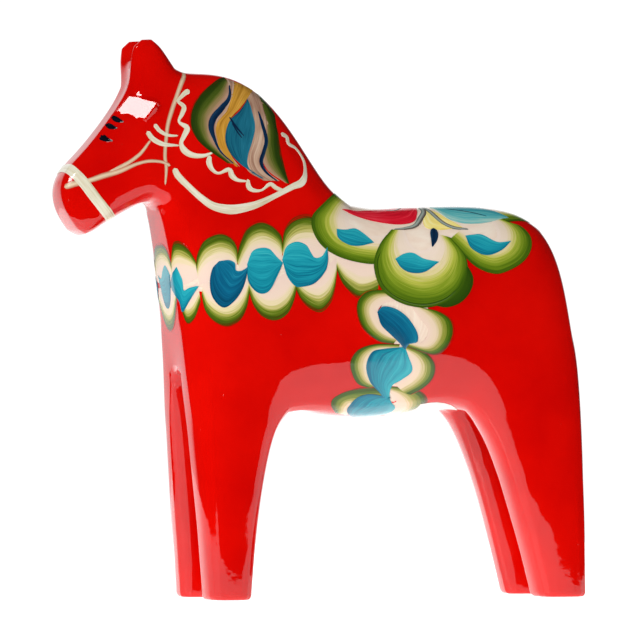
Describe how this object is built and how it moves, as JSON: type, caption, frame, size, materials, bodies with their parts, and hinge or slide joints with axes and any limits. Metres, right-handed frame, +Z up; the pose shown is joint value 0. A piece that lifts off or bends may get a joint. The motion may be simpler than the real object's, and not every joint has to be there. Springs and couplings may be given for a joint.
{
  "type": "carved and painted wooden toy horse",
  "caption": "Standing horse carved from one block of wood, dipped in red paint, with brushed flower harness, saddle and halter ornaments and a blank paper label under the belly.",
  "frame": {"origin": "bottom centre of the bounding box, on the plane that the four soles stand on and in the mid-plane between left and right", "axes": "-X the way the horse faces, -Y its left side, +Z up"},
  "size_m": [0.1435, 0.0418, 0.1484],
  "materials": {
    "bare_pine": "knife-carved and sanded bare pine, seen only at the soles",
    "red_lacquer": "bright red dipped paint under clear gloss varnish",
    "green_oil_paint": "brushed oil paint blended from green through cream, with blue strokes, varnished",
    "cream_oil_paint": "brushed cream lines, varnished",
    "black_oil_paint": "blue-black brush dabs, varnished",
    "white_paper": "blank white paper label"
  },
  "bodies": {
    "root": {"pine_body": "bare_pine", "red_coat": "red_lacquer", "breast_band": "green_oil_paint", "saddle": "green_oil_paint", "girth_left": "green_oil_paint", "girth_right": "green_oil_paint", "mane_flower_left": "green_oil_paint", "mane_flower_right": "green_oil_paint", "mane_scroll_left": "cream_oil_paint", "mane_scroll_right": "cream_oil_paint", "mane_curve_left": "cream_oil_paint", "mane_curve_right": "cream_oil_paint", "noseband": "cream_oil_paint", "cheek_strap_left": "cream_oil_paint", "cheek_strap_right": "cream_oil_paint", "cheek_branch_left": "cream_oil_paint", "cheek_branch_right": "cream_oil_paint", "throat_lash_left": "cream_oil_paint", "throat_lash_right": "cream_oil_paint", "eye_dab_1_left": "black_oil_paint", "eye_dab_2_left": "black_oil_paint", "eye_dab_3_left": "black_oil_paint", "eye_dab_1_right": "black_oil_paint", "eye_dab_2_right": "black_oil_paint", "eye_dab_3_right": "black_oil_paint", "paper_label": "white_paper"}
  },
  "joints": []
}
